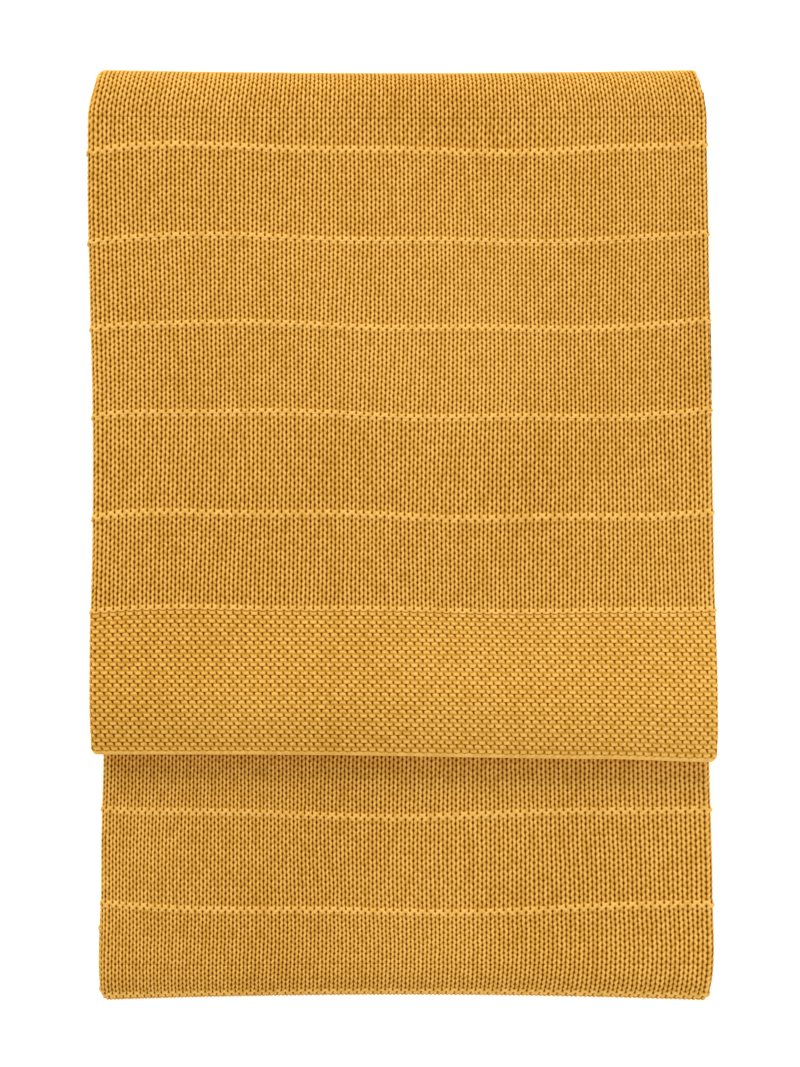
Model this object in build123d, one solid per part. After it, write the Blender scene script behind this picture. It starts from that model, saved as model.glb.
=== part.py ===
from build123d import *
import os
from math import pi

# Folded knitted cotton throw, lying flat with +Z up and +Y towards the edge where its flap turns over.
# The origin is on the table under the middle of its outline. Millimetres.
#
# The cloth is folded in four across its width, which makes a strip of four plies. The strip is
# folded in half, and then both of its ends are turned down together over the top as one flap. So
# the stack is four strips deep under the flap: base leaf, middle leaf, inner flap, outer flap.
#
# Section of a strip, seen along its length. Its crease side is the side that holds the side turn:
#
#     ________________________________
#    /  ____________________________  \   outer wrap, crease side  \
#   |  /  __________________________|  |  inner wrap, crease side  /  joined by the side turn
#   | |  /                         \__/
#   |  \  \_________________________
#    \  \___________________________      inner wrap, selvedge
#     \_____________________________      outer wrap, selvedge

# Driving dimensions
FOLDED_WIDTH = 325.0
FOLDED_LENGTH = 487.0
PLY = 2.5                # thickness of the knit
PLY_GAP = 0.2            # air between the plies of one strip
STRIP_GAP = 0.4          # air between one strip and the next
HEM_Y = -115.0           # where the hems of both flaps end
BORDER_LENGTH = 75.0     # garter-stitch border at each end of the cloth
EDGE_LENGTH = 4.0        # cast-on or bound-off edge, the last row of the border
SELVEDGE_INSET = 1.5     # how far the selvedges stop short of the folded side

# The strip's section, in (x across the strip, h above its middle towards the crease side)
OUTER_WRAP_OUTSIDE = 2 * PLY + 1.5 * PLY_GAP
OUTER_WRAP_INSIDE = OUTER_WRAP_OUTSIDE - PLY
INNER_WRAP_OUTSIDE = OUTER_WRAP_INSIDE - PLY_GAP
INNER_WRAP_INSIDE = INNER_WRAP_OUTSIDE - PLY
SIDE_TURN_OUTSIDE = PLY + PLY_GAP / 2
SIDE_TURN_INSIDE = PLY_GAP / 2
SIDE_TURN_H = OUTER_WRAP_OUTSIDE - SIDE_TURN_OUTSIDE
LEFT_TURN_X = -FOLDED_WIDTH / 2 + OUTER_WRAP_OUTSIDE
SIDE_TURN_X = FOLDED_WIDTH / 2 - SIDE_TURN_OUTSIDE
SELVEDGE_X = FOLDED_WIDTH / 2 - SELVEDGE_INSET

# The stack of strips
STRIP = 2 * OUTER_WRAP_OUTSIDE
STRIP_PITCH = STRIP + STRIP_GAP
BASE_Z, MIDDLE_Z, INNER_FLAP_Z, OUTER_FLAP_Z = [STRIP / 2 + level * STRIP_PITCH for level in range(4)]

# The folds: a tight one at the bottom, and two nested ones at the top
TIGHT_FOLD_RADIUS = STRIP_PITCH / 2
WIDE_FOLD_RADIUS = 3 * STRIP_PITCH / 2
BOTTOM_FOLD_Y = -FOLDED_LENGTH / 2 + TIGHT_FOLD_RADIUS + OUTER_WRAP_OUTSIDE
BOTTOM_FOLD_Z = (BASE_Z + MIDDLE_Z) / 2
TOP_FOLD_Y = FOLDED_LENGTH / 2 - WIDE_FOLD_RADIUS - OUTER_WRAP_OUTSIDE
TOP_FOLD_Z = (MIDDLE_Z + INNER_FLAP_Z) / 2
BORDER_Y = HEM_Y + BORDER_LENGTH
EDGE_Y = HEM_Y + EDGE_LENGTH

# Crease side of a strip: up or down for a flat stretch, outside or inside for a fold
UP = OUTSIDE = 1
DOWN = INSIDE = -1


def outline(place, steps):
    """Closed face through steps of ("line", end) and ("arc", middle, end), placed by place(x, h)."""
    here = steps[-1][-1]
    edges = []
    for step in steps:
        points = [place(*point) for point in (here, *step[1:])]
        edges.append(Line(*points) if step[0] == "line" else ThreePointArc(*points))
        here = step[-1]
    return make_face(edges)


def wrap_section(place, outside, inside):
    """One of the strip's two nested wraps: two plies, joined by a round turn at the left side."""
    return outline(place, [
        ("line", (LEFT_TURN_X, outside)),
        ("arc", (LEFT_TURN_X - outside, 0), (LEFT_TURN_X, -outside)),
        ("line", (SELVEDGE_X, -outside)),
        ("line", (SELVEDGE_X, -inside)),
        ("line", (LEFT_TURN_X, -inside)),
        ("arc", (LEFT_TURN_X - inside, 0), (LEFT_TURN_X, inside)),
        ("line", (SIDE_TURN_X, inside)),
        ("line", (SIDE_TURN_X, outside)),
    ])


def side_turn_section(place):
    """The crease that joins the two wraps at the right side."""
    top, bottom = SIDE_TURN_H + SIDE_TURN_OUTSIDE, SIDE_TURN_H - SIDE_TURN_OUTSIDE
    inner_top, inner_bottom = SIDE_TURN_H + SIDE_TURN_INSIDE, SIDE_TURN_H - SIDE_TURN_INSIDE
    return outline(place, [
        ("arc", (SIDE_TURN_X + SIDE_TURN_OUTSIDE, SIDE_TURN_H), (SIDE_TURN_X, bottom)),
        ("line", (SIDE_TURN_X, inner_bottom)),
        ("arc", (SIDE_TURN_X + SIDE_TURN_INSIDE, SIDE_TURN_H), (SIDE_TURN_X, inner_top)),
        ("line", (SIDE_TURN_X, top)),
    ])


def strip_sections(place):
    """The three pieces of a strip's section by name."""
    return {
        "outer_wrap": wrap_section(place, OUTER_WRAP_OUTSIDE, OUTER_WRAP_INSIDE),
        "inner_wrap": wrap_section(place, INNER_WRAP_OUTSIDE, INNER_WRAP_INSIDE),
        "side_turn": side_turn_section(place),
    }


def flat_strip(start_y, end_y, middle_z, crease_side):
    """A flat stretch of the strip, between two places along its length."""
    sections = strip_sections(lambda x, h: (x, start_y, middle_z + crease_side * h))
    return {piece: extrude(face, amount=end_y - start_y, dir=(0, 1, 0)) for piece, face in sections.items()}


def folded_strip(centre_y, centre_z, radius, crease_side, sweep):
    """A half turn of the strip. A sweep of 180 bulges towards +Y, and -180 towards -Y."""
    sections = strip_sections(lambda x, h: (x, centre_y, centre_z - radius - crease_side * h))
    axis = Axis((0, centre_y, centre_z), (1, 0, 0))
    return {piece: revolve(face, axis, revolution_arc=sweep) for piece, face in sections.items()}


def build_throw():
    """Every node of the throw by name."""
    stretches = {
        "base_leaf": flat_strip(BOTTOM_FOLD_Y, TOP_FOLD_Y, BASE_Z, DOWN),
        "bottom_fold": folded_strip(BOTTOM_FOLD_Y, BOTTOM_FOLD_Z, TIGHT_FOLD_RADIUS, OUTSIDE, -180),
        "middle_leaf": flat_strip(BOTTOM_FOLD_Y, TOP_FOLD_Y, MIDDLE_Z, UP),
        "inner_fold": folded_strip(TOP_FOLD_Y, TOP_FOLD_Z, TIGHT_FOLD_RADIUS, INSIDE, 180),
        "inner_flap": flat_strip(BORDER_Y, TOP_FOLD_Y, INNER_FLAP_Z, DOWN),
        "inner_border": flat_strip(EDGE_Y, BORDER_Y, INNER_FLAP_Z, DOWN),
        "outer_fold": folded_strip(TOP_FOLD_Y, TOP_FOLD_Z, WIDE_FOLD_RADIUS, OUTSIDE, 180),
        "outer_flap": flat_strip(BORDER_Y, TOP_FOLD_Y, OUTER_FLAP_Z, UP),
        "outer_border": flat_strip(EDGE_Y, BORDER_Y, OUTER_FLAP_Z, UP),
    }
    nodes = {}
    for stretch, pieces in stretches.items():
        for piece, solid in pieces.items():
            nodes[f"{stretch}_{piece}"] = solid
    nodes["bound_off_edge"] = Compound(list(flat_strip(HEM_Y, EDGE_Y, INNER_FLAP_Z, DOWN).values()))
    nodes["cast_on_edge"] = Compound(list(flat_strip(HEM_Y, EDGE_Y, OUTER_FLAP_Z, UP).values()))
    return nodes


def hinge_places(radius):
    """The two hinge lines, as (y, z), that let half a turn of cloth of this radius open out flat."""
    reach = pi * radius / 4
    return [(TOP_FOLD_Y + reach, TOP_FOLD_Z - reach), (TOP_FOLD_Y + reach, TOP_FOLD_Z + reach)]


throw = build_throw()
os.makedirs("parts", exist_ok=True)
for node, shape in throw.items():
    shape.label = node
    export_step(shape, f"parts/{node}.step")

box = Compound(list(throw.values())).bounding_box()
leaf_length = TOP_FOLD_Y - BOTTOM_FOLD_Y
flap_length = TOP_FOLD_Y - HEM_Y
cloth_length = 2 * leaf_length + 2 * flap_length + pi * (2 * TIGHT_FOLD_RADIUS + WIDE_FOLD_RADIUS)
volume = sum(shape.volume for shape in throw.values())
print(f"{len(throw)} nodes, box {box.size.X:.1f} x {box.size.Y:.1f} x {box.size.Z:.1f} mm")
print(f"length of the opened cloth {cloth_length:.0f} mm, volume {volume / 1e6:.2f} litres")
for fold, radius in (("outer", WIDE_FOLD_RADIUS), ("inner", TIGHT_FOLD_RADIUS)):
    print(fold, "fold's hinge lines (y, z)", [(round(y, 3), round(z, 3)) for y, z in hinge_places(radius)])
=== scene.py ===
# %% [markdown]
# # A folded knitted throw
#
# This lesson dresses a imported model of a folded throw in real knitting. The model says where every
# stretch of cloth is and which body it moves with. The script keeps to those places, and adds what
# the plain model leaves out: four separate plies in every strip, stitches, ridges and a soft drape.
# Everything is in metres and in the frame of the model.

# %% Load the frame
import math
import bmesh
import bpy
import numpy as np
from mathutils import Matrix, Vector


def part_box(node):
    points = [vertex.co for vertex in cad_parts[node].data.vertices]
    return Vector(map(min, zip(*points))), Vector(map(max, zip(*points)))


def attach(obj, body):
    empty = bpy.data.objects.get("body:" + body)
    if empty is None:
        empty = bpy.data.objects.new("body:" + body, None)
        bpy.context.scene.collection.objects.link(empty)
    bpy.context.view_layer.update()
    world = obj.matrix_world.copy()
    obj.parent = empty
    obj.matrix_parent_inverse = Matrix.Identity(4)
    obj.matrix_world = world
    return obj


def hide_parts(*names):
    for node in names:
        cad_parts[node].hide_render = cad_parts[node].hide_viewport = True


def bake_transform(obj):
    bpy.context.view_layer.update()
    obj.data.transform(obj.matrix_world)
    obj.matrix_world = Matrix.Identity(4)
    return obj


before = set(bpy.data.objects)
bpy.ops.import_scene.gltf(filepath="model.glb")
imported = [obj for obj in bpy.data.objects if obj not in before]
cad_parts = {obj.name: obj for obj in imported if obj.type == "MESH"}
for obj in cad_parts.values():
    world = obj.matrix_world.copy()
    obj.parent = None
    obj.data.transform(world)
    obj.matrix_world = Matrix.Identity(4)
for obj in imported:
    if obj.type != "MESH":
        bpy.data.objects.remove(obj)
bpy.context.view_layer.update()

# %% [markdown]
# ## The folded cloth as the model has it
#
# The cloth is folded in four across its width, which makes a strip of four plies. That strip runs
# as one long path: up the outer flap, round the top fold, under the base, round the bottom fold, up
# the middle leaf, round the tight inner fold, and down the inner flap. All the sizes below are read
# from the boxes of the model's nodes, so that the cloth lies exactly where the model does.

# %% Sizes read from the model
base_low, base_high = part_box("base_leaf_outer_wrap")
middle_low, middle_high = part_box("middle_leaf_outer_wrap")
inner_low, inner_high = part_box("inner_flap_outer_wrap")
outer_low, outer_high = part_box("outer_flap_outer_wrap")
turn_low, turn_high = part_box("outer_flap_side_turn")
inner_wrap_low, inner_wrap_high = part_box("outer_flap_inner_wrap")

STRIP = outer_high.z - outer_low.z            # thickness of the four plies
HALF = STRIP / 2
PLY_PITCH = (STRIP - (inner_wrap_high.z - inner_wrap_low.z)) / 2
GAP = 4 * PLY_PITCH - STRIP                   # air between two plies of one strip
PLY = PLY_PITCH - GAP
LEFT = outer_low.x
RIGHT = turn_high.x
SELVEDGE = outer_high.x
LEFT_TURN = LEFT + HALF
SIDE_TURN = turn_low.x
HEM_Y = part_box("cast_on_edge")[0].y
BORDER_Y = outer_low.y
TOP_FOLD_Y = outer_high.y
BOTTOM_FOLD_Y = base_low.y
TOP_FOLD_Z = (middle_high.z + inner_low.z) / 2
BOTTOM_FOLD_Z = (base_high.z + middle_low.z) / 2
print("ply", round(1000 * PLY, 2), "gap", round(1000 * GAP, 2), "strip", round(1000 * STRIP, 2), "mm")

# %% [markdown]
# ## Shader arithmetic
#
# A stitch is a formula, and it is needed twice: once to shape the mesh and once to colour it. So the
# small class below lets Python's own operators build Math nodes, and the few functions after it take
# either a numpy array or one of these wires. The stitch formulas can then be written once.

# %% A socket that Python can do arithmetic on
class Wire:
    """A shader socket. Arithmetic on it adds Math nodes to its tree."""

    def __init__(self, tree, socket):
        self.tree = tree
        self.socket = socket

    def node(self, kind, settings=None, inputs=None, output=0):
        """Any node: its settings are set first, then the values or wires of its inputs."""
        made = self.tree.nodes.new(kind)
        for name, value in (settings or {}).items():
            setattr(made, name, value)
        for name, value in (inputs or {}).items():
            if isinstance(value, Wire):
                self.tree.links.new(value.socket, made.inputs[name])
            else:
                made.inputs[name].default_value = value
        return Wire(self.tree, made.outputs[output])

    def math(self, operation, *others):
        return self.node("ShaderNodeMath", {"operation": operation}, dict(enumerate((self, *others))))

    def reversed_math(self, operation, other):
        return self.node("ShaderNodeMath", {"operation": operation}, {0: other, 1: self})

    def __add__(self, other): return self.math("ADD", other)
    def __radd__(self, other): return self.math("ADD", other)
    def __sub__(self, other): return self.math("SUBTRACT", other)
    def __rsub__(self, other): return self.reversed_math("SUBTRACT", other)
    def __mul__(self, other): return self.math("MULTIPLY", other)
    def __rmul__(self, other): return self.math("MULTIPLY", other)
    def __truediv__(self, other): return self.math("DIVIDE", other)
    def __pow__(self, other): return self.math("POWER", other)
    def __neg__(self): return self.math("MULTIPLY", -1.0)


def either(operation, array_function):
    """A function that takes a wire or a numpy array."""
    def apply(value, *others):
        if isinstance(value, Wire):
            return value.math(operation, *others)
        return array_function(value, *others)
    return apply


cos = either("COSINE", np.cos)
sin = either("SINE", np.sin)
exp = either("EXPONENT", np.exp)
floor = either("FLOOR", np.floor)
absolute = either("ABSOLUTE", np.abs)
at_least = either("MAXIMUM", np.maximum)
at_most = either("MINIMUM", np.minimum)


def fraction(value):
    return value - floor(value)


def spot(value, width):
    """1 at 0, and falling away as a bell of that width."""
    scaled = value / width
    return exp(-(scaled * scaled))


def clamp(value):
    return at_most(at_least(value, 0.0), 1.0)


# %% [markdown]
# ## The stitches
#
# Stockinette shows the front legs of its loops as columns of V shapes. A column is a wale and a row
# is a course. Dark holes sit in the middle of each V and between the wales, half a course apart, and
# the legs bow round them. Every sixteenth course is purled, and shows as one raised wavy ridge.
# Garter stitch, on the borders, is knit and purl courses in turn: rows of bumps, like bricks, two to
# a ridge. Both formulas give a height from about 0, in a hole, to 1, on the crown of the yarn.

# %% Stitch formulas
RIDGE_EVERY = 16


def stockinette(wale, course):
    """Height of the knit at a place counted in wales and courses, and how far it lies in a hole."""
    side = absolute(fraction(wale) - 0.5) * 2.0
    beat = cos(course * math.tau)
    bowed = side - 0.13 * beat * sin(side * math.pi)
    leg = 0.22 + 0.78 * at_least(sin(bowed * math.pi), 0.001) ** 0.7
    crown = 0.5 + 0.5 * cos((course - 0.5 * side - 0.5) * math.tau)
    from_ridge = course - RIDGE_EVERY * floor(course / RIDGE_EVERY + 0.5)
    beside = 1.0 + 0.5 * spot(from_ridge - 0.25, 1.3)
    in_v = (0.5 + 0.5 * beat) ** 2.0 * spot(side, 0.23)
    between = (0.5 - 0.5 * beat) ** 2.0 * spot(1.0 - side, 0.21)
    hole = clamp((in_v + 0.8 * between) * beside)
    height = leg * (0.84 + 0.16 * crown) * (1.0 - 0.92 * hole)
    ridge = spot(from_ridge - 0.25 - 0.30 * cos(side * math.pi), 0.38)
    height = height * (1.0 - ridge) + 1.2 * ridge
    return height, hole * (1.0 - ridge)


def garter(wale, course):
    """The same for garter stitch, where two courses make a ridge."""
    row = floor(course)
    lower = 1.0 - fraction(row / 2.0) * 2.0
    across = 1.0 - absolute(fraction(wale + 0.5 * lower) - 0.5) * 2.0
    level = course - row
    curve = across * across * 0.30
    centre = 0.38 + curve + lower * (0.20 - 2.0 * curve)
    strand = spot(level - centre, 0.48)
    slant = 1.0 - absolute(fraction(wale + 0.5 * lower + 0.10 * (level - 0.5)) - 0.5) * 2.0
    slot = spot(1.0 - slant, 0.26) * spot(level - 0.47, 0.48)
    cross = lower * (0.25 + 0.75 * spot(1.0 - across, 0.5)) * spot(level - 0.96, 0.15)
    hole = clamp(slot * (0.86 + 0.1 * lower) + 0.6 * cross)
    height = (0.45 + 0.52 * strand) * (1.0 - 0.9 * hole)
    return height, hole


def rolled(wale, course):
    """The same for an edge, where the last thick course rolls over the end of the cloth."""
    height, hole = garter(wale, course)
    roll = clamp(1.7 - 1.5 * course)
    return height * (1.0 - roll) + (0.97 + 0.05 * cos(wale * math.tau)) * roll, hole * (1.0 - roll)


for stitch in (stockinette, garter, rolled):
    wales, courses = np.meshgrid(np.linspace(0, 4, 81), np.linspace(2, 14, 241))
    height, hole = stitch(wales, courses)
    print(stitch.__name__, "height", round(float(height.min()), 2), "to", round(float(height.max()), 2))

# %% [markdown]
# ## The path of the strip
#
# The path is kept as two lines in the (y, z) plane: the crease side of the strip, which carries the
# side turn and shows on top, and its other side. Any ply lies between them. Cloth under its own
# weight doesn't fold into a neat half circle. The bottom fold is half an ellipse, longer than it is
# high, and the folds at the top, which wrap round a stack, are squarer, so that they lie nearly flat
# when the flap is opened. The length along the crease side measures the path.

# %% Lines along both sides of the strip
BOTTOM_REACH = 0.008     # how far a fold starts before the model's, which makes it longer than high
TOP_REACH = 0.003
BOTTOM_POWER = 2.0       # 2 is an ellipse, and more is squarer
TOP_POWER = 3.2
UPPER_TURN_Y = TOP_FOLD_Y - TOP_REACH
LOWER_TURN_Y = BOTTOM_FOLD_Y + BOTTOM_REACH
# Where a turn begins, the height of its middle, its reach, below 0 where it goes towards -Y, and power
TOP_TURN = (UPPER_TURN_Y, TOP_FOLD_Z, TOP_REACH, TOP_POWER)
BOTTOM_TURN = (LOWER_TURN_Y, BOTTOM_FOLD_Z, -BOTTOM_REACH, BOTTOM_POWER)


FLAT_SAMPLES = 200
TURN_SAMPLES = 1441


def flat_run(start_y, end_y, crease_z, other_z):
    """A flat stretch of the path."""
    y = np.linspace(start_y, end_y, FLAT_SAMPLES)
    return np.stack([y, np.full_like(y, crease_z), y, np.full_like(y, other_z)], 1)


def fold_run(turn, crease_radius, other_radius, start, end):
    """Half a turn about a line. 0 degrees is its lower end."""
    turn_y, middle_z, reach, power = turn
    angle = np.radians(np.linspace(start, end, TURN_SAMPLES))
    out = np.abs(np.sin(angle)) ** (2 / power)
    up = -np.sign(np.cos(angle)) * np.abs(np.cos(angle)) ** (2 / power)
    lines = []
    for radius in (crease_radius, other_radius):
        lines += [turn_y + (reach + math.copysign(radius, reach)) * out, middle_z + radius * up]
    return np.stack(lines, 1)


wide_outside, wide_inside = TOP_FOLD_Z - base_low.z, TOP_FOLD_Z - base_high.z
tight_outside, tight_inside = TOP_FOLD_Z - middle_low.z, TOP_FOLD_Z - middle_high.z
runs = {
    "outer_flap": flat_run(HEM_Y, UPPER_TURN_Y, outer_high.z, outer_low.z),
    "outer_fold": fold_run(TOP_TURN, wide_outside, wide_inside, 180, 0),
    "base_leaf": flat_run(UPPER_TURN_Y, LOWER_TURN_Y, base_low.z, base_high.z),
    "bottom_fold": fold_run(BOTTOM_TURN, tight_outside, tight_inside, 0, 180),
    "middle_leaf": flat_run(LOWER_TURN_Y, UPPER_TURN_Y, middle_high.z, middle_low.z),
    "inner_fold": fold_run(TOP_TURN, tight_inside, tight_outside, 0, 180),
    "inner_flap": flat_run(UPPER_TURN_Y, HEM_Y, inner_low.z, inner_high.z),
}
path = np.concatenate(list(runs.values()))
path_step = np.hypot(np.diff(path[:, 0]), np.diff(path[:, 1]))
path_at = np.concatenate([[0], np.cumsum(path_step)])
run_ends = np.cumsum([len(run) for run in runs.values()])
run_start = {name: path_at[end - len(run)] for (name, run), end in zip(runs.items(), run_ends)}
run_end = {name: path_at[end - 1] for name, end in zip(runs, run_ends)}


def along(run, y):
    """How far along the path a place on a flat run lies, from its y."""
    return run_start[run] + abs(y - runs[run][0, 0])


print("path, mm", {name: round(1000 * (run_end[name] - run_start[name])) for name in runs})

# %% [markdown]
# ## Courses along the path
#
# The ridges are the landmarks of this knit. Each is sixteen courses from the next, and the cloth is a
# little looser in some places than in others, so the places of the ridges set how the courses are
# spread along the path. One ridge lies on the top fold and one on the bottom fold.

# %% Where the courses lie
BORDER_COURSES = 34
COURSE = 0.00295
flap_ridges = [0.0096, 0.0624, 0.109, 0.1545, 0.2016]
leaf_ridges = [-0.1945, -0.1438]
top_ridge = run_start["outer_fold"] + 0.035
bottom_ridge = run_start["bottom_fold"] + 0.615 * (run_end["bottom_fold"] - run_start["bottom_fold"])
ridges_under = round((bottom_ridge - top_ridge) / (RIDGE_EVERY * COURSE))

border_top = along("outer_flap", BORDER_Y)
inner_border_top = along("inner_flap", BORDER_Y)
course_places = [border_top] + [along("outer_flap", y) for y in flap_ridges] + [top_ridge]
course_counts = [RIDGE_EVERY * k for k in range(len(course_places))]
course_places += [bottom_ridge] + [along("middle_leaf", y) for y in leaf_ridges]
last = course_counts[-1] + RIDGE_EVERY * ridges_under
course_counts += [last, last + RIDGE_EVERY, last + 2 * RIDGE_EVERY]
course_counts.append(course_counts[-1] + round((inner_border_top - course_places[-1]) / COURSE))
course_places.append(inner_border_top)


def course_at(place):
    return np.interp(place, course_places, course_counts)


def place_of(course):
    return np.interp(course, course_counts, course_places)


print("courses of stockinette", course_counts[-1])

# %% [markdown]
# ## The section of the strip
#
# Across its width the cloth is one long ribbon: out along the outer ply, round the left turn, back
# along the top ply, round the side turn, and the same again inside. The function below gives the
# middle of the ribbon at a distance from its first selvedge, with the direction of its right side.

# %% The ribbon across the strip
OUTER_PLY = HALF - PLY / 2
INNER_PLY = (PLY + GAP) / 2
TURN_H = (OUTER_PLY + INNER_PLY) / 2
WALE = 0.00433


def straight_part(start_x, end_x, h, normal_h):
    direction = math.copysign(1, end_x - start_x)
    def at(e):
        x = start_x + direction * e
        return np.stack([x, np.full_like(x, h), np.zeros_like(x), np.full_like(x, normal_h)], 1)
    return abs(end_x - start_x), at


def round_part(centre_x, centre_h, radius, start, end, outward):
    sense = math.copysign(1, end - start)
    def at(e):
        angle = math.radians(start) + sense * e / radius
        c, s = np.cos(angle), np.sin(angle)
        return np.stack([centre_x + radius * c, centre_h + radius * s, outward * c, outward * s], 1)
    return radius * math.radians(abs(end - start)), at


ribbon_parts = [
    straight_part(SELVEDGE, LEFT_TURN, -OUTER_PLY, -1),
    round_part(LEFT_TURN, 0, OUTER_PLY, 270, 90, 1),
    straight_part(LEFT_TURN, SIDE_TURN, OUTER_PLY, 1),
    round_part(SIDE_TURN, TURN_H, INNER_PLY, 90, -90, 1),
    straight_part(SIDE_TURN, LEFT_TURN, INNER_PLY, -1),
    round_part(LEFT_TURN, 0, INNER_PLY, 90, 270, -1),
    straight_part(LEFT_TURN, SELVEDGE, -INNER_PLY, 1),
]
part_ends = np.cumsum([length for length, _ in ribbon_parts])
part_starts = part_ends - [length for length, _ in ribbon_parts]
CLOTH_WIDTH = float(part_ends[-1])


def ribbon(e):
    """x, h and the direction of the right side, at distances e from the first selvedge."""
    e = np.asarray(e, float)
    found = np.zeros((len(e), 4))
    for start, end, (_, at) in zip(part_starts, part_ends, ribbon_parts):
        inside = (e >= start) & (e <= end)
        found[inside] = at(e[inside] - start)
    return found


def section_columns(per_wale):
    """Columns of the mesh round the ribbon: distance, offset, reach past the end, stitched or not."""
    fine = WALE / per_wale
    shown = slice(1, 4)
    first, final = part_starts[shown][0], part_ends[shown][-1]
    stitched = np.arange(math.ceil(first / fine), math.floor(final / fine) + 1) * fine
    def plain(parts, straight, bend):
        found = []
        for k in parts:
            count = straight if k % 2 == 0 else bend
            found.append(np.linspace(part_starts[k], part_ends[k], count, endpoint=False))
        return np.concatenate(found)
    right_side = np.concatenate([
        plain([0], 14, 0), stitched, plain([4, 5, 6], 14, 5), [CLOTH_WIDTH]])
    wrong_side = np.concatenate([plain(range(7), 14, 8), [CLOTH_WIDTH]])[::-1]
    rounding = np.radians([54, 18, -18, -54])
    columns = [(e, PLY / 2, 0, first <= e <= final) for e in right_side]
    columns += [(CLOTH_WIDTH, PLY / 2 * math.sin(r), PLY / 2 * math.cos(r), False) for r in rounding]
    columns += [(e, -PLY / 2, 0, False) for e in wrong_side]
    columns += [(0, -PLY / 2 * math.sin(r), -PLY / 2 * math.cos(r), False) for r in rounding]
    return np.array(columns, float)


print("cloth width", round(CLOTH_WIDTH, 3), "m,", round(CLOTH_WIDTH / WALE), "wales")

# %% [markdown]
# ## How the cloth lies
#
# A folded throw isn't a box. Its sides wander, its corners are round where the plies pull in at a
# fold, the courses wave, and the free hem of the flap is limp and presses itself flat. Each of these
# is a smooth function of the place on the path and across the strip. A few listed places set the
# outline of the two sides, and the curve through them is eased.

# %% Outline of the two sides
def eased(places, values):
    """A smooth curve through a few given places, which are in order."""
    places, values = np.array(places), np.array(values)
    slopes = np.gradient(values, places)
    def at(x):
        x = np.clip(x, places[0], places[-1])
        k = np.clip(np.searchsorted(places, x) - 1, 0, len(places) - 2)
        width = places[k + 1] - places[k]
        t = (x - places[k]) / width
        rise = (1 + 2 * t) * (1 - t) ** 2 * values[k] + t * t * (3 - 2 * t) * values[k + 1]
        return rise + width * (t * (1 - t) ** 2 * slopes[k] - t * t * (1 - t) * slopes[k + 1])
    return at


def fold_place(run, degrees):
    """Where on the path a fold has turned this far from its first end."""
    share = degrees / 180
    return run_start[run] + share * (run_end[run] - run_start[run])


flap = lambda y: along("outer_flap", y)
under = lambda y: along("base_leaf", y)
leaf = lambda y: along("middle_leaf", y)
tucked = lambda y: along("inner_flap", y)
left_side = [
    (flap(HEM_Y), -0.1612), (flap(-0.1125), -0.1624), (flap(-0.107), -0.1628), (flap(-0.062), -0.1633),
    (flap(0), -0.1620), (flap(0.071), -0.1620), (flap(0.128), -0.1634), (flap(0.200), -0.1645),
    (fold_place("outer_fold", 15), -0.1638), (fold_place("outer_fold", 45), -0.1611),
    (fold_place("outer_fold", 90), -0.1592), (fold_place("outer_fold", 135), -0.1600),
    (under(0.19), -0.1600), (under(0), -0.1575), (under(-0.17), -0.1572),
    (fold_place("bottom_fold", 45), -0.1590), (fold_place("bottom_fold", 90), -0.1580),
    (fold_place("bottom_fold", 135), -0.1586), (leaf(-0.200), -0.1580), (leaf(-0.159), -0.1578),
    (leaf(-0.123), -0.1568), (leaf(0.05), -0.1590), (leaf(0.19), -0.1600),
    (tucked(0.19), -0.1590), (tucked(0.0), -0.1600), (tucked(-0.08), -0.1590), (tucked(HEM_Y), -0.1570),
]
right_side = [
    (flap(HEM_Y), 0.1640), (flap(-0.1125), 0.1655), (flap(-0.107), 0.1660), (flap(-0.085), 0.1661),
    (flap(-0.028), 0.1645), (flap(0.034), 0.1633), (flap(0.097), 0.1622), (flap(0.200), 0.1604),
    (fold_place("outer_fold", 15), 0.1598), (fold_place("outer_fold", 45), 0.1572),
    (fold_place("outer_fold", 90), 0.1545), (fold_place("outer_fold", 135), 0.1560),
    (under(0.19), 0.1580), (under(0), 0.1600), (under(-0.17), 0.1612),
    (fold_place("bottom_fold", 45), 0.1630), (fold_place("bottom_fold", 90), 0.1612),
    (fold_place("bottom_fold", 135), 0.1634), (leaf(-0.186), 0.1640), (leaf(-0.123), 0.1624),
    (leaf(0.10), 0.1618), (leaf(0.19), 0.1602), (tucked(0.19), 0.1590), (tucked(0.10), 0.1629),
    (tucked(0.0), 0.1626), (tucked(-0.08), 0.1628), (tucked(HEM_Y), 0.1605),
]
left_at = eased(*zip(*left_side))
right_at = eased(*zip(*right_side))
looser_right = eased(
    [flap(HEM_Y), flap(0), flap(0.2), fold_place("outer_fold", 90), under(0.1), under(-0.1), leaf(-0.2),
        leaf(-0.11), leaf(0.1), tucked(HEM_Y)],
    [0, 0, -0.028, -0.028, 0, 0.06, 0.075, 0.075, 0, 0])

# %% Drape
def smooth_step(value, start, end):
    t = np.clip((value - start) / (end - start), 0, 1)
    return t * t * (3 - 2 * t)


def on_run(place, run, fade=0.012):
    """1 on a flat run of the path, fading to 0 just before its ends."""
    return smooth_step(place, run_start[run], run_start[run] + fade) * smooth_step(
        place, run_end[run], run_end[run] - fade)


WANDER = 0.0004          # how far a wale strays from straight


def spread_across(x, place):
    """Moves x from the plain strip to the outline, with wales that are wider at one side."""
    across = (x - LEFT) / (RIGHT - LEFT)
    across = across - looser_right(place) * 2 * across * (1 - across)
    wander = WANDER * (np.sin(place * 31 + x * 40) + 0.25 * np.sin(place * 83 - x * 90 + 1.7))
    rim = 1 - smooth_step(np.abs(x), 0.14, 0.16)
    return left_at(place) + across * (right_at(place) - left_at(place)) + wander * rim


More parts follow.
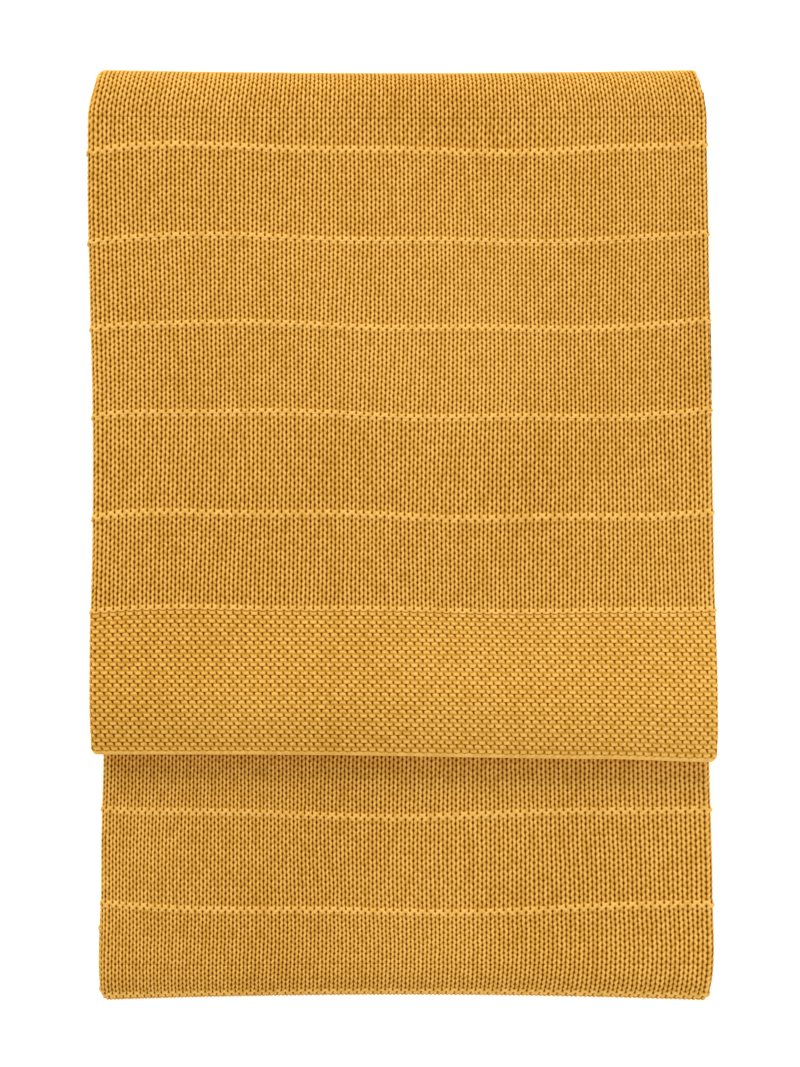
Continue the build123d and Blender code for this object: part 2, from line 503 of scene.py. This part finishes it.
def waved(x, place):
    """How far a course lies ahead of its place, which makes the ridges wave."""
    on_flap = on_run(place, "outer_flap")
    flap_wave = (0.0017 * np.cos((x + 0.1) * 17 + place * 2.2) + 0.0006 * np.sin(x * 55 + place * 25)
        - 0.0035 * np.exp(-(x - LEFT) / 0.016) + 0.0022 * np.exp(-(RIGHT - x) / 0.022))
    leaf_wave = -0.0045 * np.cos(x / (RIGHT - LEFT) * math.pi) + 0.0008 * np.sin(x * 40 + place * 30)
    on_leaf = smooth_step(place, fold_place("bottom_fold", 60), leaf(-0.185)) * smooth_step(
        place, run_end["middle_leaf"], run_end["middle_leaf"] - 0.03)
    hem_fade = smooth_step(place, flap(BORDER_Y - 0.03), flap(BORDER_Y + 0.03))
    other = on_run(place, "base_leaf") + on_run(place, "inner_flap", 0.03)
    before_border = smooth_step(place, run_end["inner_flap"], inner_border_top)
    hidden_wave = 0.0015 * np.sin(x * 23 + place * 9) * before_border
    return flap_wave * on_flap * hem_fade + leaf_wave * on_leaf + hidden_wave * other


HEM_FALL = 0.036         # length of flap that hangs limp towards the hem
HEM_PRESSED = 0.48       # and how much of its thickness the hem keeps
FLAP_UNDERSIDE = inner_low.z
HEM_SLANT = 0.0024       # how much lower the hem hangs at the right
HEM_CORNER = 0.0015      # and how much more at its corner
TOP_DISH, TOP_SHIFT = 0.0018, 0.0008       # how far a fold sinks in at its middle, less its shift
BOTTOM_DISH, BOTTOM_SHIFT = 0.0030, 0.0017
UNEVEN = 0.0005          # height of the waves in the top
SETTLED = 0.0006         # how far the top has sunk under its own weight


def draped(x, y, z, place):
    """The cloth as gravity leaves it: limp hem, dished folds and a slightly uneven top."""
    limp = np.clip((HEM_Y + HEM_FALL - y) / HEM_FALL, 0, 1) ** 2
    in_flaps = (place < run_end["outer_flap"]) | (place > run_start["inner_flap"])
    on_flap = (z > FLAP_UNDERSIDE - 0.0005) & in_flaps
    kept = 1 - (1 - HEM_PRESSED) * limp * on_flap
    z = FLAP_UNDERSIDE + (z - FLAP_UNDERSIDE) * kept
    lower = HEM_SLANT * smooth_step(x, -0.08, 0.12) + HEM_CORNER * smooth_step(x, 0.11, 0.16)
    y = y - lower * np.clip((HEM_Y + 0.09 - y) / 0.09, 0, 1) * on_flap
    middle = 1 - (x / RIGHT) ** 2
    at_top = smooth_step(y, UPPER_TURN_Y - 0.02, TOP_FOLD_Y + 0.01)
    y = y - (TOP_DISH * middle - TOP_SHIFT) * at_top
    at_bottom = smooth_step(y, LOWER_TURN_Y + 0.03, BOTTOM_FOLD_Y - 0.006)
    y = y + (BOTTOM_DISH * middle - BOTTOM_SHIFT) * at_bottom
    height = z / outer_high.z
    uneven = UNEVEN * np.sin(x * 31 + y * 17) + UNEVEN * np.sin(y * 43 - x * 13 + 2)
    z = np.maximum(z + (uneven - SETTLED) * height, 0)
    return x, y, z


# %% [markdown]
# ## Making a piece of knitting
#
# Each stretch of cloth is a closed skin round all four plies. It starts as one flat grid, with a
# column for each place round the section and a row for each place along the path. The grid is laid
# on the section, carried along the path, joined along its long side and closed at both ends. On the
# right side of the cloth the stitch formula pushes the surface in between the yarns.

# %% The knitted piece
RELIEF = {"stockinette": 0.00115, "garter": 0.0011, "rolled": 0.0006}
CROWN = {"stockinette": -0.0001, "garter": 0.0001, "rolled": 0.0002}
STITCH = {"stockinette": stockinette, "garter": garter, "rolled": rolled}
RIDGE_STANDS = 0.0014    # how far a ridge stands out beyond the crowns, and twice that at the sides
MESH_SIZES = {}


def knitted(name, start, end, kind, per_wale, rows_per_course, course_of, edge=None):
    """A stretch of the strip between two places on its path. edge rounds off a cast-on edge."""
    first, last = sorted((float(course_of(start)), float(course_of(end))))
    step = 1 / rows_per_course
    inner = np.arange(math.ceil(first / step + 0.3), math.floor(last / step - 0.3) + 1) * step
    courses = np.concatenate([[first], inner, [last]])
    known = np.linspace(start, end, 2000)
    order = np.argsort(course_of(known))
    places = np.interp(courses, course_of(known)[order], known[order])

    columns = section_columns(per_wale)
    e, offset, reach, stitched = columns.T
    middle = ribbon(e)
    wale = e / WALE
    rows, count = len(courses), len(columns)

    grid = bmesh.new()
    grid.loops.layers.uv.new("knit")
    bmesh.ops.create_grid(grid, x_segments=count - 1, y_segments=rows - 1, size=1.0)
    mesh = bpy.data.meshes.new(name)
    grid.to_mesh(mesh)
    grid.free()

    place, course = places[:, None], courses[:, None]
    height, _ = STITCH[kind](wale[None, :] + 0 * course, course + 0 * wale[None, :])
    at_side = np.abs(middle[None, :, 2])
    stands = RIDGE_STANDS * np.maximum(height - 1, 0) * (1 + 2 * at_side)
    relief = (CROWN[kind] - RELIEF[kind] * (1 - np.minimum(height, 1)) + stands) * stitched[None, :]
    squeeze = 1.0
    if edge is not None:
        inside_edge, end_of_cloth = edge
        past = np.clip((place - inside_edge) / (end_of_cloth - inside_edge), 0, 0.999)
        squeeze = np.sqrt(1 - past ** 2)
    out = (offset[None, :] + relief) * squeeze
    plump = 1 + 0.06 * np.sin(course * math.pi) * (reach != 0)[None, :]
    x = middle[None, :, 0] + middle[None, :, 2] * out + np.abs(reach)[None, :] * squeeze * plump
    h = middle[None, :, 1] + middle[None, :, 3] * out
    spot_on_path = place + waved(x, place) + 0 * x
    depth = (HALF - h) / STRIP
    lines = [np.interp(spot_on_path, path_at, path[:, k]) for k in range(4)]
    y = lines[0] + (lines[2] - lines[0]) * depth
    z = lines[1] + (lines[3] - lines[1]) * depth
    x = spread_across(x, place)
    x, y, z = draped(x, y, z, place)
    points = np.stack([x, y, z], 2)
    mesh.vertices.foreach_set("co", points.reshape(-1, 3).astype(np.float32).ravel())

    corner = np.zeros(len(mesh.loops), np.int32)
    mesh.loops.foreach_get("vertex_index", corner)
    knit = np.stack([wale[None, :] + 0 * course, course + 0 * wale[None, :]], 2).reshape(-1, 2)
    mesh.uv_layers["knit"].uv.foreach_set("vector", knit[corner].astype(np.float32).ravel())

    skin = bmesh.new()
    skin.from_mesh(mesh)
    skin.verts.ensure_lookup_table()
    last_column = {skin.verts[r * count + count - 1]: skin.verts[r * count] for r in range(rows)}
    bmesh.ops.weld_verts(skin, targetmap=last_column)
    rims = [side for side in skin.edges if side.is_boundary]
    caps = bmesh.ops.holes_fill(skin, edges=rims, sides=0)["faces"]
    bmesh.ops.triangulate(skin, faces=caps)
    bmesh.ops.recalc_face_normals(skin, faces=skin.faces)
    for face in skin.faces:
        face.smooth = True
    skin.to_mesh(mesh)
    skin.free()
    piece = bpy.data.objects.new(name, mesh)
    bpy.context.scene.collection.objects.link(piece)
    mesh.calc_loop_triangles()
    MESH_SIZES[name] = len(mesh.loop_triangles)
    print(f"{name}: {rows} rows of {count}, {MESH_SIZES[name]} triangles")
    return piece


# %% [markdown]
# ## Yarn and its colour
#
# The yarn is a matte mustard cotton. Light doesn't reach the holes between the loops, where the
# colour falls to a deep brown, and the crowns of the loops are the brightest. Fine plies twist round
# each strand, short fibres roughen it, and no two loops are quite alike. Everything is worked out
# from the piece's own map of wales and courses, so it stays on the cloth when the flap is opened.

# %% Yarn materials
def yarn_material(name, kind):
    material = bpy.data.materials.new(name)
    material.use_nodes = True
    tree = material.node_tree
    tree.nodes.clear()
    start = Wire(tree, None)
    knit = start.node("ShaderNodeUVMap", {"uv_map": "knit"})
    wale = start.node("ShaderNodeSeparateXYZ", {}, {0: knit})
    course = Wire(tree, wale.socket.node.outputs[1])
    place = start.node("ShaderNodeTexCoord", output=3)

    drift = start.node("ShaderNodeTexNoise", {}, {"Vector": knit, "Scale": 0.55, "Detail": 2.0})
    sway = start.node("ShaderNodeTexNoise", {}, {"Vector": place, "Scale": 170.0, "Detail": 1.0})
    height, hole = STITCH[kind](wale + (drift - 0.5) * 0.22, course + (sway - 0.5) * 0.3)

    loops = start.node("ShaderNodeCombineXYZ", {}, {0: floor(wale * 2.0), 1: floor(course)})
    chance = start.node("ShaderNodeTexWhiteNoise", {"noise_dimensions": "2D"}, {"Vector": loops})
    fibre = start.node("ShaderNodeTexNoise", {}, {"Vector": place, "Scale": 2600.0, "Detail": 3.0})
    # Soft patches of painted light and shade, placed at random, standing in for the shading of gentle
    # waves in the cloth.
    painted_shade_patch = start.node("ShaderNodeTexNoise", {}, {"Vector": place, "Scale": 9.0, "Detail": 2.0})
    lean = absolute(fraction(wale) - 0.5) * 2.0
    twist = 0.5 + 0.5 * sin((course * 3.0 - lean * 2.2 + (chance - 0.5) * 0.6) * math.tau)

    # Painted light and shade in the base colour: the ramp below turns the stitch height into colour, a
    # deep brown in the holes, where shade falls, and brightest on the crowns of the loops, where light
    # falls.
    light = at_most(height, 0.93) + hole * (0.12 - 0.30 * chance)
    light = light + (chance - 0.5) * 0.16 + (painted_shade_patch - 0.5) * 0.22
    light = light + (fibre - 0.5) * 0.30 + (twist - 0.5) * 0.10
    shade = start.node("ShaderNodeValToRGB", {}, {"Fac": clamp(light)})
    ramp = shade.socket.node.color_ramp
    stops = [(0.0, (0.090, 0.013, 0.0001)), (0.25, (0.238, 0.064, 0.001)), (0.5, (0.486, 0.214, 0.014)),
             (0.75, (0.712, 0.364, 0.052)), (1.0, (0.940, 0.556, 0.145))]
    while len(ramp.elements) < len(stops):
        ramp.elements.new(0.5)
    for element, (position, colour) in zip(ramp.elements, stops):
        element.position = position
        element.color = (*colour, 1)

    bumps = height * 0.75 + twist * 0.10 + fibre * 0.16
    bump = start.node("ShaderNodeBump", {}, {"Height": bumps, "Distance": 0.0006, "Strength": 0.55})
    surface = start.node("ShaderNodeBsdfPrincipled", {}, {
        "Base Color": shade, "Roughness": clamp(0.86 + (fibre - 0.5) * 0.2), "Normal": bump,
        "Specular IOR Level": 0.06, "Sheen Weight": 0.05, "Sheen Roughness": 0.5,
        "Sheen Tint": (1.0, 0.72, 0.35, 1.0)})
    end = tree.nodes.new("ShaderNodeOutputMaterial")
    tree.links.new(surface.socket, end.inputs["Surface"])
    return material


stockinette_yarn = yarn_material("stockinette_yarn", "stockinette")
garter_yarn = yarn_material("garter_yarn", "garter")
edge_yarn = yarn_material("edge_yarn", "rolled")
print("materials", [m.name for m in bpy.data.materials if m.users or m.name.endswith("yarn")])

# %% [markdown]
# ## The stretches of cloth
#
# The cloth is made in pieces that end where the model's bodies do, with the long ones divided at a
# ridge. What shows most has the finest mesh. A flat stretch rides on one body. A fold is made in
# two halves, split at the middle of its turn.

# %% Pieces and what they follow
FINE, COARSE = 6, 4      # columns of mesh in a wale, where the cloth shows and where it doesn't
WRAPS = ("outer_wrap", "inner_wrap", "side_turn")


def nodes_of(*stretches):
    return [f"{stretch}_{wrap}" for stretch in stretches for wrap in WRAPS]


def declare(piece, length, material, nodes=(), edges=()):
    """Gives a piece its material and hides the model's nodes that it replaces."""
    piece.data.materials.append(material)
    if nodes:
        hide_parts(*nodes)
    if length:
        list(edges)


def mean_length(start, end):
    """Length of the middle of the strip between two places on its path."""
    places = np.linspace(start, end, 2000)
    crease_y, crease_z, other_y, other_z = (np.interp(places, path_at, line) for line in path.T)
    return float(np.hypot(np.diff(crease_y + other_y), np.diff(crease_z + other_z)).sum() / 2)


def flat_pieces(name, run, bounds, per_wale, rows_per_course, kind="stockinette", edges=()):
    """A flat stretch in one or more pieces, between the places in bounds."""
    for number, (start, end) in enumerate(zip(bounds, bounds[1:]), 1):
        label = name if len(bounds) == 2 else f"{name}_{number}"
        piece = knitted(label, start, end, kind, per_wale, rows_per_course, COURSE_OF[kind, run])
        stretch = run.replace("flap", "border") if kind == "garter" else run
        declare(piece, mean_length(start, end), YARN[kind],
            () if name.endswith("shown") or number > 1 else nodes_of(stretch), edges)
        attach(piece, BODY.get(run, "base"))


def border_course(top, hem):
    """Courses of a border, counted from its hem."""
    return lambda place: (np.asarray(place) - hem) / (top - hem) * BORDER_COURSES


YARN = {"stockinette": stockinette_yarn, "garter": garter_yarn}
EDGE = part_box("cast_on_edge")[1].y - HEM_Y
COURSE_OF = {("stockinette", run): course_at for run in runs}
COURSE_OF["garter", "outer_flap"] = border_course(border_top, run_start["outer_flap"])
COURSE_OF["garter", "inner_flap"] = border_course(inner_border_top, run_end["inner_flap"])

BODY = {"outer_flap": "outer_flap", "inner_flap": "inner_flap"}


def hem_edge(name, run, hem, per_wale):
    """A cast-on or bound-off edge, rolled over the end of the ply."""
    inside = hem + EDGE if run == "outer_flap" else hem - EDGE
    piece = knitted(name + "_rolled", inside, hem, "rolled", per_wale, 10, COURSE_OF["garter", run],
        edge=(inside, hem))
    declare(piece, 0, edge_yarn, [name])
    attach(piece, BODY[run])
    return inside, [piece]


flap_places = [border_top, place_of(2 * RIDGE_EVERY), place_of(4 * RIDGE_EVERY), run_end["outer_flap"]]
flat_pieces("outer_flap", "outer_flap", flap_places, FINE, 4)
inside, edges = hem_edge("cast_on_edge", "outer_flap", run_start["outer_flap"], FINE)
flat_pieces("outer_border", "outer_flap", [inside, border_top], FINE, 4, "garter", edges)

under_places = np.linspace(run_start["base_leaf"], run_end["base_leaf"], 4)
flat_pieces("base_leaf", "base_leaf", under_places, COARSE, 3)
covered = leaf(-0.102)   # a little way under the hem
shown_places = [run_start["middle_leaf"], covered]
flat_pieces("middle_leaf_shown", "middle_leaf", shown_places, FINE, 4)
tucked_places = np.linspace(covered, run_end["middle_leaf"], 3)
flat_pieces("middle_leaf_covered", "middle_leaf", tucked_places, COARSE, 2)
inner_places = np.linspace(run_start["inner_flap"], inner_border_top, 3)
flat_pieces("inner_flap", "inner_flap", inner_places, COARSE, 2)
inside, edges = hem_edge("bound_off_edge", "inner_flap", run_end["inner_flap"], COARSE)
flat_pieces("inner_border", "inner_flap", [inner_border_top, inside], COARSE, 2,
    "garter", edges)

bottom_places = (run_start["bottom_fold"], run_end["bottom_fold"])
bottom = knitted("bottom_fold", *bottom_places, "stockinette", FINE, 4, course_at)
declare(bottom, mean_length(*bottom_places), stockinette_yarn,
    nodes_of("bottom_fold"))
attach(bottom, "base")

# %% Folds in two halves
BEND_FROM, BEND_TO = 0.22, 0.78      # shares of a quarter turn, round its corner


def fold_half(name, run, degrees, start, end, fineness, nodes):
    """Half of a fold, from one angle of its turn to another."""
    places = [fold_place(run, angle) for angle in degrees]
    piece = knitted(name, *places, "stockinette", *fineness, course_at)
    declare(piece, mean_length(*places), stockinette_yarn, nodes)
    start, end = np.array([0, *start]), np.array([0, *end])
    tuple(start + BEND_FROM * (end - start))
    tuple(start + BEND_TO * (end - start))
    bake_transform(piece)


wide_turn = (UPPER_TURN_Y + wide_inside + TOP_REACH, TOP_FOLD_Z)
tight_turn = (UPPER_TURN_Y + tight_inside + TOP_REACH, TOP_FOLD_Z)
fold_half("outer_fold_upper", "outer_fold", (0, 90),
    wide_turn, (UPPER_TURN_Y, outer_low.z), (FINE, 4), nodes_of("outer_fold"))
fold_half("outer_fold_lower", "outer_fold", (90, 180),
    (UPPER_TURN_Y, base_high.z), wide_turn, (FINE, 3), ())
fold_half("inner_fold_lower", "inner_fold", (0, 90),
    (UPPER_TURN_Y, middle_high.z), tight_turn, (COARSE, 12), nodes_of("inner_fold"))
fold_half("inner_fold_upper", "inner_fold", (90, 180),
    tight_turn, (UPPER_TURN_Y, inner_low.z), (COARSE, 12), ())
print("triangles in all", sum(MESH_SIZES.values()), "largest", max(MESH_SIZES.values()))

# %% [markdown]
# ## Floor, light and camera
#
# The throw lies on a plain pale floor, which glows a little so that it stays nearly white. A wide
# soft light beyond its far edge leaves a soft shadow under the hem of the flap, one overhead fills
# the rest, and three weak, low ones brighten the sides and the near rim. The camera looks straight
# down through a long lens, so that the sides don't show.

# %% Floor
floor_mesh = bmesh.new()
bmesh.ops.create_grid(floor_mesh, x_segments=1, y_segments=1, size=6.0)
floor_data = bpy.data.meshes.new("floor")
floor_mesh.to_mesh(floor_data)
floor_mesh.free()
ground = bpy.data.objects.new("floor", floor_data)
bpy.context.scene.collection.objects.link(ground)
pale = bpy.data.materials.new("pale_floor")
pale.use_nodes = True
pale_inputs = pale.node_tree.nodes["Principled BSDF"].inputs
pale_inputs["Base Color"].default_value = (0.93, 0.93, 0.93, 1)
pale_inputs["Roughness"].default_value = 0.9
pale_inputs["Emission Color"].default_value = (1, 1, 1, 1)
pale_inputs["Emission Strength"].default_value = 0.45
floor_data.materials.append(pale)

# %% Light
def soft_light(name, place, size, power):
    """A square light that looks at the middle of the throw."""
    data = bpy.data.lights.new(name, "AREA")
    data.size = size
    data.energy = power
    lamp = bpy.data.objects.new(name, data)
    lamp.location = place
    lamp.rotation_mode = "QUATERNION"
    lamp.rotation_quaternion = (-Vector(place)).to_track_quat("-Z", "Y")
    bpy.context.scene.collection.objects.link(lamp)


soft_light("far_light", (-0.5, 2.5, 1.6), 1.6, 57)
soft_light("overhead_light", (0.2, -0.6, 2.6), 2.2, 23.5)
soft_light("left_light", (-1.6, -0.2, 0.5), 0.6, 3.5)
soft_light("right_light", (1.6, -0.2, 0.5), 0.6, 5.5)
soft_light("near_light", (0.3, -2.4, 0.7), 0.9, 7)
world = bpy.data.worlds.new("studio")
world.use_nodes = True
world.node_tree.nodes["Background"].inputs["Color"].default_value = (1.0, 0.99, 0.97, 1)
world.node_tree.nodes["Background"].inputs["Strength"].default_value = 0.40
bpy.context.scene.world = world
bpy.context.scene.view_settings.view_transform = "Standard"

# %% Camera
PICTURE_HEIGHT = 0.5584      # height of the view at the top of the flap
LENS = 400.0
SENSOR = 36.0
camera_data = bpy.data.cameras.new("camera")
camera_data.lens = LENS
camera_data.sensor_width = SENSOR
camera = bpy.data.objects.new("camera", camera_data)
distance = PICTURE_HEIGHT * LENS / SENSOR
camera.location = (-0.0005, 0.0009, outer_high.z + distance)
camera_data.clip_end = 20      # beyond the far corner of the floor from any side
bpy.context.scene.collection.objects.link(camera)
bpy.context.scene.camera = camera
print("camera", round(distance, 2), "m above the flap")
